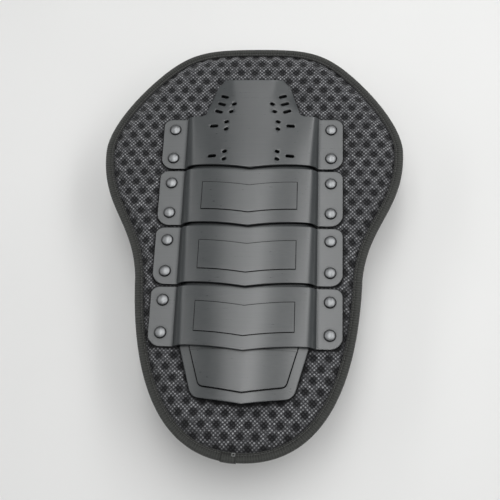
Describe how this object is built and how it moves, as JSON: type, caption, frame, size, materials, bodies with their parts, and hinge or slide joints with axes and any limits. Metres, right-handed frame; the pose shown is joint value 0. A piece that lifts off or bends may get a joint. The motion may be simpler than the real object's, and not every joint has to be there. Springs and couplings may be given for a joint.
{
  "type": "back protector",
  "caption": "Motorcycle back protector: lapped, riveted plastic plates over a bound foam pad with a dimpled mesh face, which bends between the plates.",
  "frame": {"origin": "middle of the pad outline, on the flat back lining", "axes": "+Y along the spine towards the neck, +X to the right as seen from the plates, +Z out of the plates"},
  "size_m": [0.3138, 0.446, 0.0341],
  "materials": {
    "plate": "satin moulded grey",
    "rivet": "satin gunmetal",
    "washer": "plain zinc",
    "face_mesh": "heather grey spacer knit",
    "foam": "closed-cell foam",
    "lining": "plain dark knit",
    "binding": "ribbed dark tape"
  },
  "bodies": {
    "neck_section": {"neck_plate": "plate", "neck_rivets": "rivet", "neck_washers": "washer", "neck_face": "face_mesh", "neck_foam": "foam", "neck_lining": "lining", "neck_binding": "binding"},
    "upper_section": {"upper_plate": "plate", "upper_rivets": "rivet", "upper_washers": "washer", "upper_face": "face_mesh", "upper_foam": "foam", "upper_lining": "lining", "upper_binding": "binding"},
    "middle_section": {"middle_plate": "plate", "middle_rivets": "rivet", "middle_washers": "washer", "middle_face": "face_mesh", "middle_foam": "foam", "middle_lining": "lining", "middle_binding": "binding"},
    "lower_section": {"lower_plate": "plate", "lower_rivets": "rivet", "lower_washers": "washer", "lower_face": "face_mesh", "lower_foam": "foam", "lower_lining": "lining", "lower_binding": "binding"},
    "tail_section": {"tail_plate": "plate", "tail_washers": "washer", "tail_face": "face_mesh", "tail_foam": "foam", "tail_lining": "lining", "tail_binding": "binding"}
  },
  "joints": [
    {"name": "upper_bend", "type": "hinge", "parent": "middle_section", "child": "upper_section", "pos_m": [0, 0.0085, 0], "axis": [-1, 0, 0], "range_deg": [-2.5, 10], "stiffness_Nm_per_rad": 2},
    {"name": "neck_bend", "type": "hinge", "parent": "upper_section", "child": "neck_section", "pos_m": [0, 0.0715, 0], "axis": [-1, 0, 0], "range_deg": [-2.5, 10], "stiffness_Nm_per_rad": 2},
    {"name": "lower_bend", "type": "hinge", "parent": "middle_section", "child": "lower_section", "pos_m": [0, -0.0545, 0], "axis": [1, 0, 0], "range_deg": [-2.5, 10], "stiffness_Nm_per_rad": 2},
    {"name": "tail_bend", "type": "hinge", "parent": "lower_section", "child": "tail_section", "pos_m": [0, -0.1175, 0], "axis": [1, 0, 0], "range_deg": [-2.5, 10], "stiffness_Nm_per_rad": 2}
  ]
}
